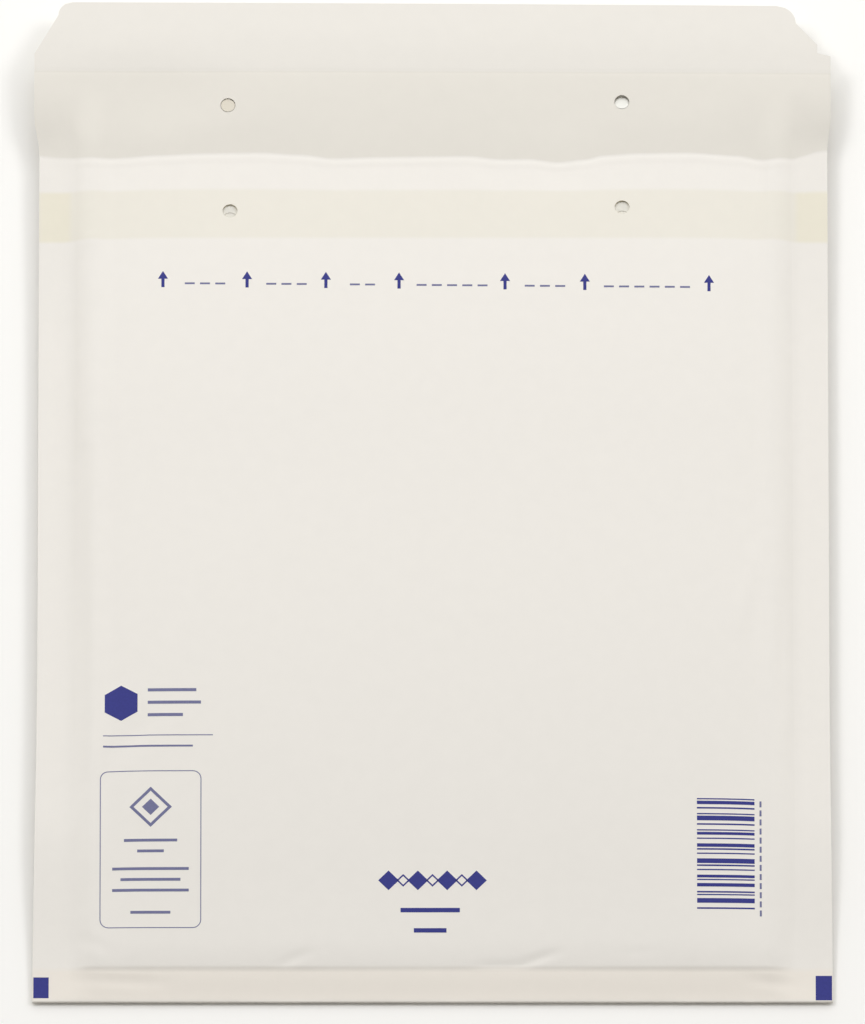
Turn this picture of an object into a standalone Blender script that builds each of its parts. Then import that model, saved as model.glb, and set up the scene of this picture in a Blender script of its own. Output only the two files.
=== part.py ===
"""Padded mailing envelope, lying on its back panel with the flap open.

Frame: metres, +Z up. X runs across the envelope, +Y along it towards the flap, and the origin is
under the middle of the outline on the surface that the envelope lies on.

One white kraft sheet makes the flap, the front panel, the fold at the bottom and the back panel.
A folded sheet of bubble film lines both panels. Hot-melt bands hold the film at the mouth, glue
lines close the two sides, and the flap carries an adhesive strip under a release liner. Every
layer is drawn as a plain sheet, thick enough to be a solid, with a small clearance between layers.
"""

import math

import bmesh
import bpy

# Outline of the envelope.
BODY_WIDTH = 0.240
BODY_LENGTH = 0.275
FLAP_LENGTH = 0.050

# Thickness of the layers, and the clearance left between two layers that touch.
PAPER = 0.0004
FILM = 0.0016
FILM_EDGE = 0.0004
GLUE = 0.0004
TAPE = 0.0003
LINER = 0.0003
CLEARANCE = 0.0003

# Room between the two film layers, in the middle of the pocket and at the film's edge.
POCKET = 0.0060
POCKET_AT_EDGE = 0.0007

# Margins without film along the sides and the bottom fold.
SEAM_WIDTH = 0.0100
BOTTOM_MARGIN = 0.0110
MOUTH_SETBACK = 0.0012

# How the padding rounds down towards its edges.
SIDE_SHOULDER = 0.028
BOTTOM_SHOULDER = 0.033
MOUTH_SHOULDER = 0.0245
MOUTH_DROP = 0.0022
FILM_TAPER = 0.018
FILM_MOUTH_THINNING = 0.9
PINCH = 0.0035

# Height of the margins above the surface that the back panel lies on.
SEAM_LIFT = 0.0022
BOTTOM_LIFT = 0.0004
LIFT_RUN = 0.0100
CORNER_RUN = 0.060

# The flap rises from the crease in a low arch and ends a little above the crease.
FLAP_ARCH = 0.0016
FLAP_END_RISE = 0.0014
FLAP_RISE_RUN = 0.022
FLAP_ARCH_SKEW = 0.7
FLAP_BEND_RUN = 0.004
FLAP_SIDE_SAG = 0.0007

# Corners of the flap. Both sides are straight at first. The right one then has a small step before
# its slanted and rounded corner, and the left one a plain slant, because the die cut sits off centre.
FLAP_STRAIGHT = 0.0331
NOTCH_DEPTH = 0.0040
NOTCH_LENGTH = 0.0012
RIGHT_SLANT_START = 0.0370
RIGHT_SLANT_END = 0.0442
RIGHT_SLANT_DEPTH = 0.0105
RIGHT_CORNER_DEPTH = 0.0165
LEFT_SLANT_END = 0.0457
LEFT_SLANT_DEPTH = 0.0072
LEFT_CORNER_DEPTH = 0.0115

# Closure strip on the inner face of the flap.
LINER_START = 0.0275
TAPE_MARGIN = 0.0025

# Hot-melt band near the mouth, measured down from the crease.
BAND_START = 0.0108
BAND_WIDTH = 0.0162
BAND_END_GAP = 0.0006
SEAM_GLUE_MARGIN = 0.0006

# Vent holes, punched through the closed envelope.
VENT_DIAMETER = 0.0044
VENT_SETBACK = 0.0170
VENT_LEFT = 0.0614
VENT_RIGHT = 0.0568

HALF_WIDTH = BODY_WIDTH / 2
FILM_HALF = HALF_WIDTH - SEAM_WIDTH
BOTTOM_Y = -(BODY_LENGTH + FLAP_LENGTH) / 2
CREASE_Y = BOTTOM_Y + BODY_LENGTH
FILM_BOTTOM_Y = BOTTOM_Y + BOTTOM_MARGIN
MOUTH_Y = CREASE_Y - MOUTH_SETBACK
BAND_TOP_Y = CREASE_Y - BAND_START
BAND_LOW_Y = BAND_TOP_Y - BAND_WIDTH

SEAM_ROOM = GLUE + 2 * CLEARANCE
BAND_ROOM = GLUE + 2 * CLEARANCE
EDGE_ROOM = 2 * (BAND_ROOM + FILM_EDGE) + POCKET_AT_EDGE
FULL_ROOM = 2 * (CLEARANCE + FILM) + POCKET

FOLD_RADIUS = SEAM_ROOM / 2 + PAPER
FILM_FOLD_RADIUS = EDGE_ROOM / 2 - CLEARANCE


def ease(t):
    """Smooth step from 0 to 1."""
    t = min(max(t, 0.0), 1.0)
    return t * t * (3.0 - 2.0 * t)


def ramp(value, start, run):
    """0 up to start, 1 from start + run on, smooth between the two."""
    return ease((value - start) / run)


def room(x, y):
    """Height between the inner faces of the two paper panels."""
    side = abs(x)
    edge = (1.0 - ramp(side, FILM_HALF, PINCH)) * ramp(y, FILM_BOTTOM_Y - PINCH, PINCH)
    across = 1.0 - ramp(side, FILM_HALF - SIDE_SHOULDER, SIDE_SHOULDER)
    along = ramp(y, FILM_BOTTOM_Y, BOTTOM_SHOULDER)
    fall = MOUTH_DROP / (FULL_ROOM - EDGE_ROOM)
    mouth = 1.0 - fall * ramp(y, CREASE_Y - MOUTH_SHOULDER, MOUTH_SHOULDER)
    return SEAM_ROOM + (EDGE_ROOM - SEAM_ROOM) * edge + (FULL_ROOM - EDGE_ROOM) * across * along * mouth


def back_face(x, y):
    """Height of the back panel's outer face: flat on the table, lifted along the margins."""
    low = BOTTOM_LIFT * (1.0 - ramp(y, FILM_BOTTOM_Y - PINCH, PINCH + LIFT_RUN))
    high = BOTTOM_LIFT + (SEAM_LIFT - BOTTOM_LIFT) * ramp(y, BOTTOM_Y, CORNER_RUN)
    side = ramp(abs(x), FILM_HALF - LIFT_RUN, LIFT_RUN + PINCH)
    return low + (high - low) * side


def front_face(x, y):
    """Height of the front panel's outer face."""
    return back_face(x, y) + 2 * PAPER + room(x, y)


def flap_face(x, run):
    """Height of the flap's outer face, a distance run beyond the crease."""
    share = run / FLAP_LENGTH
    middle = front_face(0.0, CREASE_Y) + FLAP_END_RISE * share
    middle += FLAP_ARCH * math.sin(math.pi * share**FLAP_ARCH_SKEW)
    drop = front_face(0.0, CREASE_Y) - front_face(x, CREASE_Y)
    left_over = FLAP_SIDE_SAG / (front_face(0.0, CREASE_Y) - front_face(HALF_WIDTH, CREASE_Y))
    return middle - drop * (1.0 - (1.0 - left_over) * ramp(run, 0.0, FLAP_RISE_RUN))


def share_of(value, start, end):
    """0 up to start, 1 from end on, straight between the two."""
    return min(max((value - start) / (end - start), 0.0), 1.0)


def rounded_end(run, start):
    """0 up to start, then a quarter of an ellipse that reaches 1 at the end of the flap."""
    corner = share_of(run, start, FLAP_LENGTH)
    return 1.0 - math.sqrt(max(1.0 - corner * corner, 0.0))


def right_cut(run):
    """How far the flap's right side is cut in, a distance run beyond the crease."""
    step = NOTCH_DEPTH * ramp(run, FLAP_STRAIGHT, NOTCH_LENGTH)
    slant = (RIGHT_SLANT_DEPTH - NOTCH_DEPTH) * share_of(run, RIGHT_SLANT_START, RIGHT_SLANT_END)
    return step + slant + (RIGHT_CORNER_DEPTH - RIGHT_SLANT_DEPTH) * rounded_end(run, RIGHT_SLANT_END)


def left_cut(run):
    """How far the flap's left side is cut in, a distance run beyond the crease."""
    slant = LEFT_SLANT_DEPTH * share_of(run, FLAP_STRAIGHT, LEFT_SLANT_END)
    return slant + (LEFT_CORNER_DEPTH - LEFT_SLANT_DEPTH) * rounded_end(run, LEFT_SLANT_END)


def flap_x(x, run, inset=0.0):
    """Where a station x of the full width lies on the flap, which narrows towards its end."""
    cut = right_cut(run) if x > 0 else left_cut(run)
    return x * (HALF_WIDTH - cut - inset) / HALF_WIDTH


def spread(start, end, cells):
    """Evenly spaced stations from start to end."""
    return [start + (end - start) * k / cells for k in range(cells + 1)]


def joined(*runs):
    """Stations of several runs in one list, without the doubled ends."""
    stations = []
    for run in runs:
        stations += [value for value in run if not stations or abs(value - stations[-1]) > 1e-6]
    return stations


def columns(half, margin):
    """Stations across the envelope, close together on the shoulders and wide apart in the middle."""
    shoulder = FILM_HALF - SIDE_SHOULDER
    right = joined(
        spread(0.0, shoulder, 2),
        spread(shoulder, FILM_HALF - LIFT_RUN, 3),
        spread(FILM_HALF - LIFT_RUN, min(FILM_HALF, half), 3),
    )
    if margin:
        right = joined(right, spread(FILM_HALF, FILM_HALF + PINCH, 2), [half])
    return [-value for value in reversed(right[1:])] + right


def body_stations(low, high):
    """Stations along a panel between two heights on the page, close together where it bends."""
    knots = [low]
    for value, cells in (
        (FILM_BOTTOM_Y, 2),
        (FILM_BOTTOM_Y + LIFT_RUN, 2),
        (FILM_BOTTOM_Y + BOTTOM_SHOULDER, 3),
        (BAND_LOW_Y - FILM_TAPER, 3),
        (BAND_LOW_Y - PINCH, 2),
        (BAND_LOW_Y, 1),
        (BAND_TOP_Y, 2),
        (high, 3),
    ):
        if value > knots[-1] + 1e-6:
            knots = joined(knots, spread(knots[-1], value, cells))
    return knots


def half_turn(cells):
    """Angles of a fold, from the back panel round to the front panel, without its two ends."""
    return spread(-math.pi / 2, math.pi / 2, cells)[1:-1]


def new_material(name, colour, roughness, alpha=1.0):
    material = bpy.data.materials.new(name)
    material.use_nodes = True
    shader = material.node_tree.nodes["Principled BSDF"]
    shader.inputs["Base Color"].default_value = (*colour, 1.0)
    shader.inputs["Roughness"].default_value = roughness
    shader.inputs["Metallic"].default_value = 0.0
    shader.inputs["Alpha"].default_value = alpha
    material.diffuse_color = (*colour, alpha)
    return material


def sheet(name, points, thickness, material, collection, shares=None):
    """A grid bent to rows of points, outer face first, then given its thickness inwards."""
    mesh = bpy.data.meshes.new(name)
    bm = bmesh.new()
    bmesh.ops.create_grid(bm, x_segments=len(points[0]) - 1, y_segments=len(points) - 1, size=1.0)
    across = {value: i for i, value in enumerate(sorted({round(v.co.x, 4) for v in bm.verts}))}
    along = {value: j for j, value in enumerate(sorted({round(v.co.y, 4) for v in bm.verts}))}
    for vertex in bm.verts:
        i = across[round(vertex.co.x, 4)]
        j = along[round(vertex.co.y, 4)]
        vertex.index = j * len(points[0]) + i
    bm.verts.sort()
    for vertex in bm.verts:
        vertex.co = points[vertex.index // len(points[0])][vertex.index % len(points[0])]
    bm.normal_update()
    bm.to_mesh(mesh)
    bm.free()
    mesh.shade_smooth()
    mesh.materials.append(material)
    obj = bpy.data.objects.new(name, mesh)
    collection.objects.link(obj)
    solidify = obj.modifiers.new("Thickness", "SOLIDIFY")
    solidify.thickness = thickness
    solidify.offset = -1.0
    solidify.use_even_offset = True
    if shares:
        group = obj.vertex_groups.new(name="Thickness")
        for index, share in enumerate(share for row in shares for share in row):
            group.add([index], share, "REPLACE")
        solidify.vertex_group = group.name
    return obj


def punch(obj, cutters):
    """Cuts the vent holes through a sheet."""
    for cutter in cutters:
        boolean = obj.modifiers.new("Vent", "BOOLEAN")
        boolean.operation = "DIFFERENCE"
        boolean.solver = "EXACT"
        boolean.object = cutter


def vent_cutter(name, x, y, collection):
    """A cylinder through the whole height of the envelope."""
    height = 4 * (FULL_ROOM + FLAP_ARCH)
    bm = bmesh.new()
    bmesh.ops.create_cone(
        bm,
        segments=16,
        radius1=VENT_DIAMETER / 2,
        radius2=VENT_DIAMETER / 2,
        depth=height,
        cap_ends=True,
    )
    mesh = bpy.data.meshes.new(name)
    bm.to_mesh(mesh)
    bm.free()
    cutter = bpy.data.objects.new(name, mesh)
    cutter.location = (x, y, 0.0)
    cutter.display_type = "WIRE"
    cutter.hide_render = True
    collection.objects.link(cutter)
    return cutter


def paper_points():
    """The kraft sheet, from the mouth edge of the back panel round to the end of the flap."""
    xs = columns(HALF_WIDTH, True)
    fold_y = BOTTOM_Y + FOLD_RADIUS
    ys = body_stations(fold_y, CREASE_Y)
    rows = []
    for y in reversed(body_stations(fold_y, MOUTH_Y)):
        rows.append([(x, y, back_face(x, y)) for x in xs])
    for angle in half_turn(6):
        out = FOLD_RADIUS * math.cos(angle)
        up = FOLD_RADIUS * (1.0 + math.sin(angle))
        rows.append([(x, fold_y - out, back_face(x, fold_y) + up) for x in xs])
    for y in ys:
        rows.append([(x, y, front_face(x, y)) for x in xs])
    for run in flap_stations(0.0)[1:]:
        places = [flap_x(x, run) for x in xs]
        rows.append([(x, CREASE_Y + run, flap_face(x, run)) for x in places])
    return rows


def flap_stations(start):
    """Distances beyond the crease, close together at the crease and at the shaped corners."""
    stations = joined(
        spread(0.0, FLAP_BEND_RUN, 2),
        spread(FLAP_BEND_RUN, LINER_START, 4),
        [LINER_START, FLAP_STRAIGHT, FLAP_STRAIGHT + NOTCH_LENGTH, RIGHT_SLANT_START],
        [RIGHT_SLANT_END, LEFT_SLANT_END],
        spread(LEFT_SLANT_END, FLAP_LENGTH, 4),
    )
    return [value for value in stations if value >= start - 1e-9]


def film_share(x, y):
    """Thickness of the bubble film as a share of its full thickness: it thins towards its edges."""
    side = 1.0 - ramp(abs(x), FILM_HALF - FILM_TAPER, FILM_TAPER)
    low = ramp(y, FILM_BOTTOM_Y, FILM_TAPER)
    mouth = 1.0 - FILM_MOUTH_THINNING * ramp(y, BAND_LOW_Y - FILM_TAPER, FILM_TAPER - PINCH)
    edge = FILM_EDGE / FILM
    return edge + (1.0 - edge) * side * low * mouth


def film_offset(y):
    """Clearance from the paper to the film: room for the glue band from its lower edge on."""
    return CLEARANCE + (BAND_ROOM - CLEARANCE) * ramp(y, BAND_LOW_Y - PINCH, PINCH)


def film_points():
    """The bubble film, from its mouth edge at the back round the fold to its mouth edge in front."""
    xs = columns(FILM_HALF, False)
    fold_y = FILM_BOTTOM_Y + FILM_FOLD_RADIUS
    ys = body_stations(fold_y, MOUTH_Y)
    rows = []
    shares = []
    for y in reversed(ys):
        rows.append([(x, y, back_face(x, y) + PAPER + film_offset(y)) for x in xs])
        shares.append([film_share(x, y) for x in xs])
    for angle in half_turn(5):
        out = FILM_FOLD_RADIUS * math.cos(angle)
        row = []
        for x in xs:
            radius = room(x, fold_y) / 2 - CLEARANCE
            low = back_face(x, fold_y) + PAPER + CLEARANCE
            row.append((x, fold_y - out, low + radius * (1.0 + math.sin(angle))))
        rows.append(row)
        shares.append([film_share(x, fold_y) for x in xs])
    for y in ys:
        rows.append([(x, y, front_face(x, y) - PAPER - film_offset(y)) for x in xs])
        shares.append([film_share(x, y) for x in xs])
    return rows, shares


def band_points(front):
    """A hot-melt band between the paper and the film, just below the mouth."""
    xs = columns(FILM_HALF - BAND_END_GAP, False)
    rows = []
    for y in spread(BAND_LOW_Y, BAND_TOP_Y, 2):
        if front:
            rows.append([(x, y, front_face(x, y) - PAPER - CLEARANCE) for x in xs])
        else:
            rows.append([(x, y, back_face(x, y) + PAPER + CLEARANCE + GLUE) for x in xs])
    return rows


def seam_points(side):
    """The glue line in one side seam, between the two paper panels."""
    inner = FILM_HALF + PINCH
    outer = HALF_WIDTH - SEAM_GLUE_MARGIN
    xs = sorted(side * value for value in spread(inner, outer, 1))
    ys = joined([BOTTOM_Y + 2 * FOLD_RADIUS], body_stations(FILM_BOTTOM_Y, MOUTH_Y))
    return [[(x, y, back_face(x, y) + PAPER + CLEARANCE + GLUE) for x in xs] for y in ys]


def strip_points(start, end, inset, depth):
    """A strip on the flap's inner face, a given depth below the flap's outer face."""
    xs = columns(HALF_WIDTH, True)
    rows = []
    middle = [run for run in flap_stations(start) if start + 1e-6 < run < end - 1e-6]
    for run in [start, *middle, end]:
        places = [flap_x(x, run, inset) for x in xs]
        rows.append([(x, CREASE_Y + run, flap_face(x, run) - depth) for x in places])
    return rows


def clear_scene():
    for obj in list(bpy.data.objects):
        bpy.data.objects.remove(obj, do_unlink=True)


def build():
    clear_scene()
    parts = bpy.data.collections.new("padded_envelope")
    guides = bpy.data.collections.new("cutters")
    bpy.context.scene.collection.children.link(parts)
    bpy.context.scene.collection.children.link(guides)

    paper = new_material("white_kraft_paper", (0.82, 0.80, 0.75), 0.75)
    film = new_material("bubble_film", (0.80, 0.82, 0.84), 0.25, 0.6)
    glue = new_material("hot_melt", (0.80, 0.76, 0.58), 0.4)
    tape = new_material("pressure_adhesive", (0.78, 0.74, 0.60), 0.3)
    liner = new_material("silicone_paper", (0.84, 0.83, 0.78), 0.35)

    body_vents = []
    flap_vents = []
    for label, x in (("left", -VENT_LEFT), ("right", VENT_RIGHT)):
        body_vents.append(vent_cutter(f"vent_body_{label}", x, CREASE_Y - VENT_SETBACK, guides))
        flap_vents.append(vent_cutter(f"vent_flap_{label}", x, CREASE_Y + VENT_SETBACK, guides))

    cover = sheet("paper_cover", paper_points(), PAPER, paper, parts)
    punch(cover, body_vents + flap_vents)

    points, shares = film_points()
    lining = sheet("bubble_lining", points, FILM, film, parts, shares)
    punch(lining, body_vents)

    for name, front in (("mouth_glue_front", True), ("mouth_glue_back", False)):
        band = sheet(name, band_points(front), GLUE, glue, parts)
        punch(band, body_vents)
    for name, side in (("seam_glue_left", -1), ("seam_glue_right", 1)):
        sheet(name, seam_points(side), GLUE, glue, parts)

    tape_depth = PAPER + CLEARANCE
    tape_rows = strip_points(LINER_START + TAPE_MARGIN, FLAP_LENGTH - TAPE_MARGIN, TAPE_MARGIN, tape_depth)
    sheet("flap_adhesive", tape_rows, TAPE, tape, parts)
    liner_depth = tape_depth + TAPE + CLEARANCE
    sheet("release_liner", strip_points(LINER_START, FLAP_LENGTH, 0.0, liner_depth), LINER, liner, parts)

    root = bpy.data.objects.new("envelope", None)
    parts.objects.link(root)
    for obj in list(parts.objects):
        if obj.type == "MESH":
            obj.parent = root


build()
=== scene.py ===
# %% [markdown]
# # A padded mailing envelope
#
# The envelope lies on its back panel, front panel up, with its flap open. This lesson dresses a
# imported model: the solids from the construction script are loaded as a fixed frame, and finer
# sheets of paper and bubble film take their places. Everything is in metres, with X across the
# envelope, +Y towards the flap and +Z up.

# %% Load the frame
import math

import bmesh
import bpy
from mathutils import Matrix, Vector, noise


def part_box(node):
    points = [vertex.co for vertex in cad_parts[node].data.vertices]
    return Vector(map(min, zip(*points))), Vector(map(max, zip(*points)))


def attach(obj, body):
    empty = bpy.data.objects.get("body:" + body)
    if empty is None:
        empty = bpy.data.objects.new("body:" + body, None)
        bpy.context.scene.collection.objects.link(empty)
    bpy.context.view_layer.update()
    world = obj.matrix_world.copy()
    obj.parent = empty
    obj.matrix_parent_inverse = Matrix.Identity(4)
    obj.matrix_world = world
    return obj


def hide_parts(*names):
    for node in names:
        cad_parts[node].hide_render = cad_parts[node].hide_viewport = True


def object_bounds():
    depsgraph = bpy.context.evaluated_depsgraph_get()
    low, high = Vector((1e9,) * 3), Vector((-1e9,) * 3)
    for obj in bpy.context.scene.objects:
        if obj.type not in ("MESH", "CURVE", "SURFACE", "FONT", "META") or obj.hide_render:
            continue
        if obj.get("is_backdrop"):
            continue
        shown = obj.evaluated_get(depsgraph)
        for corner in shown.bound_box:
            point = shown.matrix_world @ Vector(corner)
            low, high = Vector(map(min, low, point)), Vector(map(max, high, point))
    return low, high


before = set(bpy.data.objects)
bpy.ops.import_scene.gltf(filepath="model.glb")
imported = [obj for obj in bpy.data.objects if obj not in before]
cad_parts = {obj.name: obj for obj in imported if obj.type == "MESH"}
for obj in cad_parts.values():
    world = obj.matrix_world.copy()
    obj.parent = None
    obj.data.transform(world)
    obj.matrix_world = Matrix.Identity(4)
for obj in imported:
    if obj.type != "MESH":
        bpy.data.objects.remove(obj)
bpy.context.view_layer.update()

# %% [markdown]
# ## The driving sizes
#
# The outline comes from the frame, so the dressed envelope always fits its solids. What the eye
# reads as padding is how the sheet rounds down to its margins, so those distances have names too.
# They could be read off the solids, but a few named values are easier to try out.

# %% Sizes of the envelope
MM = 0.001

cover_low, cover_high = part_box("paper_cover")
film_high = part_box("bubble_lining")[1]
liner_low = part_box("release_liner")[0]

BODY_HALF = cover_high.x
BOTTOM_Y = cover_low.y
FLAP_END_Y = cover_high.y
CROWN = cover_high.z
FILM_HALF = round(film_high.x, 4)
FILM_BOTTOM_Y = BOTTOM_Y + 11.0 * MM
FLAP_LENGTH = 50.0 * MM
CREASE_Y = FLAP_END_Y - FLAP_LENGTH
LINER_RUN = liner_low.y - CREASE_Y

PAPER = 0.25 * MM
SEAM_ROOM = 0.44 * MM
FULL_ROOM = CROWN - 1.0 * MM
SEAM_LIFT = 3.7 * MM
MOUTH_LIFT = 1.0 * MM
FOLD_LIFT = 0.6 * MM
FOLD_RADIUS = SEAM_ROOM / 2 + PAPER
print("crease at", round(CREASE_Y * 1000, 1), "mm, liner from", round(LINER_RUN * 1000, 1), "mm beyond it")

# %% [markdown]
# ## Soft steps and bells
#
# Paper bends smoothly, so every height below is a sum of soft steps and soft bells. A step takes
# the sheet from one level to another over a run, and a bell raises or presses it at one place.

# %% Soft steps and bells


def ease(t):
    t = min(max(t, 0.0), 1.0)
    return t * t * (3.0 - 2.0 * t)


def ramp(value, start, run):
    return ease((value - start) / run)


def bell(distance, reach):
    t = distance / reach
    return (1.0 - t * t) ** 2 if abs(t) < 1.0 else 0.0


def share_of(value, start, end):
    return min(max((value - start) / (end - start), 0.0), 1.0)


print("a step and a bell, a quarter of the way:", ease(0.25), round(bell(0.25, 1.0), 3))

# %% [markdown]
# ## The height of the two panels
#
# An empty padded envelope is a flat pillow: the bubble film holds the panels apart, and along the
# sides and the bottom fold the paper lies on paper. The room between the panels is worked out first.
# A cloth simulation could puff the shape up, but a real mailer is made flat, and its margins keep
# their exact widths.

# %% Room between the panels
PAD_HALF = FILM_HALF - 0.5 * MM
PAD_STEP = 9.0 * MM
SIDE_ROUND_LEFT = 14.0
SIDE_ROUND_RIGHT = 12.0
MARGIN_START_Y = BOTTOM_Y + 0.5 * MM
MARGIN_RUN = 9.6 * MM
BOTTOM_STEP = 1.9 * MM
BOTTOM_LINE_Y = FILM_BOTTOM_Y - 0.7 * MM
BOTTOM_RUN = 140.0 * MM
BOTTOM_ROUND = 2.2
STEP_ROOM = 0.30 * MM
MARGIN_ROOM = 1.25 * MM
SHOULDER_ROOM = 0.45 * MM
SHOULDER_RUN = 9.0 * MM
EDGE_ROOM = SEAM_ROOM + MARGIN_ROOM + STEP_ROOM + SHOULDER_ROOM
MOUTH_RUN = 84.0 * MM
MOUTH_FALL = 2.8 * MM
MOUTH_CURVE = 1.8


def within_pad(x):
    """1 between the panel's sides, fading to 0 where the padding ends."""
    return 1.0 - ramp(abs(x), PAD_HALF - PAD_STEP, PAD_STEP)


def pad_edge(x, y):
    return within_pad(x) * ramp(y, BOTTOM_LINE_Y - BOTTOM_STEP / 2, BOTTOM_STEP)


def room(x, y):
    side_round = SIDE_ROUND_LEFT if x < 0 else SIDE_ROUND_RIGHT
    across = 1.0 - share_of(abs(x), 0.0, PAD_HALF) ** side_round
    along = 1.0 - (1.0 - share_of(y, BOTTOM_LINE_Y, BOTTOM_LINE_Y + BOTTOM_RUN)) ** BOTTOM_ROUND
    near_mouth = share_of(y, CREASE_Y - MOUTH_RUN, CREASE_Y)
    mouth = 1.0 - MOUTH_FALL / (FULL_ROOM - EDGE_ROOM) * near_mouth**MOUTH_CURVE
    padded = (FULL_ROOM - EDGE_ROOM) * across * along * mouth
    opened = ramp(y, MARGIN_START_Y, MARGIN_RUN)
    opened = (opened + share_of(y, MARGIN_START_Y, MARGIN_START_Y + MARGIN_RUN)) / 2
    margin = MARGIN_ROOM * opened * within_pad(x)
    shoulder = 1.0 - (1.0 - share_of(y, BOTTOM_LINE_Y, BOTTOM_LINE_Y + SHOULDER_RUN)) ** 2
    edge = STEP_ROOM * pad_edge(x, y) + SHOULDER_ROOM * shoulder * within_pad(x)
    return SEAM_ROOM + margin + edge + padded


print("room between the panels in mm:", round(room(0.0, 0.0) * 1000, 2))

# %% [markdown]
# ## The lifted seams
#
# Under the padding the back panel lies on the table. Beside it the seams are stiff strips that stand
# a few millimetres off the table, most of all at the mouth, and that gives their soft shadows. The
# solids could be copied for this, but a function of place serves every layer.

# %% Height of the back panel
LIFT_RUN = 13.5 * MM
FOLD_FADE = 40.0 * MM
CORNER_RUN = 60.0 * MM


def back_height(x, y):
    low = FOLD_LIFT * (1.0 - ramp(y, BOTTOM_Y, FOLD_FADE))
    high = FOLD_LIFT + (SEAM_LIFT - FOLD_LIFT) * ramp(y, BOTTOM_Y, CORNER_RUN)
    high += MOUTH_LIFT * ramp(y, CREASE_Y - CORNER_RUN, CORNER_RUN)
    side = ramp(abs(x), PAD_HALF - LIFT_RUN, LIFT_RUN)
    return low + (high - low) * side


print("back panel at the seam in mm:", round(back_height(BODY_HALF, 0.0) * 1000, 2))

# %% [markdown]
# ## Marks of handling
#
# The side seams pull faint valleys in the front panel, and a few short wrinkles run into the line
# above the bottom fold. Each one is a low bell along a short segment, given by its two ends, its
# reach and its height in millimetres. Sculpting would do too, but a table can be read and changed.

# %% Wrinkles and pressed lines
WRINKLES = (
    (-45.5, -151.4, -37.3, -146.6, 1.8, -0.36),
    (12.5, -151.0, 28.0, -150.9, 1.8, -0.20),
    (27.0, -150.9, 37.5, -146.8, 1.8, -0.42),
    (57.0, -147.4, 66.0, -146.8, 2.2, -0.10),
    (-106.0, -142.5, -97.0, -146.5, 3.0, -0.14),
    (-107.0, -155.5, -80.0, -156.5, 2.6, -0.26),
    (94.0, -155.5, 108.0, -157.0, 2.6, -0.26),
    (-105.6, -132.0, -105.2, 16.0, 3.6, -0.50),
    (-101.0, -90.0, -96.0, -66.0, 4.0, 0.20),
    (-94.0, -84.0, -86.0, -72.0, 5.0, -0.22),
    (92.0, -44.0, 97.0, -18.0, 4.0, 0.22),
    (104.5, -72.0, 105.0, -30.0, 2.6, -0.26),
    (104.0, -10.0, 105.5, 70.0, 4.0, -0.14),
    (-107.0, 85.0, -100.0, 86.5, 1.5, 0.24),
    (-98.5, 20.0, -97.5, 66.0, 2.6, 0.16),
)


def from_segment(x, y, x0, y0, x1, y1):
    dx, dy = x1 - x0, y1 - y0
    t = min(max(((x - x0) * dx + (y - y0) * dy) / (dx * dx + dy * dy), 0.0), 1.0)
    return math.hypot(x - x0 - t * dx, y - y0 - t * dy), t


def wrinkle_height(x, y):
    xm, ym = x / MM, y / MM
    total = 0.0
    for x0, y0, x1, y1, reach, height in WRINKLES:
        beside = min(x0, x1) - reach < xm < max(x0, x1) + reach
        if beside and min(y0, y1) - reach < ym < max(y0, y1) + reach:
            distance, along = from_segment(xm, ym, x0, y0, x1, y1)
            total += height * bell(distance, reach) * (0.35 + 0.65 * math.sin(math.pi * along))
    return total * MM


print(len(WRINKLES), "wrinkles, the deepest", min(row[-1] for row in WRINKLES), "mm")

# %% [markdown]
# ## The crease
#
# The line where the flap leaves the front panel wavers. The table says how far it strays along the
# envelope, in millimetres, at places across it. A plain sine would look too regular.

# %% Where the crease strays
CREASE_WAVE = (
    (-120.0, 1.2), (-113.0, 0.4), (-105.0, -0.2), (-96.0, -0.2), (-82.0, 0.6), (-68.0, 1.2),
    (-52.0, 1.4), (-40.0, 0.7), (-30.0, -0.5), (-17.0, -0.1), (-4.0, 0.1), (10.0, 0.3),
    (21.0, -0.8), (29.0, -0.7), (38.0, -1.8), (46.0, -0.9), (52.0, 0.5), (62.0, 1.2),
    (77.0, 1.4), (92.0, 0.6), (101.0, -0.8), (106.0, -0.2), (110.0, 0.0), (113.0, 1.2),
    (116.0, 2.4), (120.0, 3.0),
)


def crease_shift(x):
    xm = min(max(x / MM, CREASE_WAVE[0][0]), CREASE_WAVE[-1][0])
    for (x0, s0), (x1, s1) in zip(CREASE_WAVE, CREASE_WAVE[1:]):
        if xm <= x1:
            return (s0 + (s1 - s0) * ease((xm - x0) / (x1 - x0))) * MM
    return CREASE_WAVE[-1][1] * MM


print("crease strays by", [round(crease_shift(x) * 1000, 1) for x in (-BODY_HALF, 0.0, BODY_HALF)], "mm")

# %% [markdown]
# ## The front panel
#
# The front panel stands on the back panel by the room between them. On top of that come slow swells
# and small ripples, as noise of two sizes, and a low ridge just below the crease. A displacement
# texture would look the same, but the print and the film have to follow these heights too.

# %% Height of the front panel
SWELL = 0.15 * MM
RIPPLE = 0.035 * MM
MARGIN_RIPPLE = 0.04 * MM
RIDGE = 0.09 * MM


def relief(x, y):
    """What the front panel's padded face has on top of its plain form."""
    inside = pad_edge(x, y)
    swell = noise.noise(Vector((x * 16.0, y * 13.0, 0.7))) * SWELL
    ripple = noise.noise(Vector((x * 60.0, y * 46.0, 3.1))) * RIPPLE
    ridge = bell(y - CREASE_Y + 1.2 * MM, 2.0 * MM) * (1.0 - ramp(abs(x), 0.104, 0.010))
    margins = MARGIN_RIPPLE * noise.noise(Vector((x * 90.0, y * 60.0, 9.0))) * (1.0 - inside)
    return (swell + ripple) * inside + RIDGE * ridge + margins + wrinkle_height(x, y)


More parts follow.
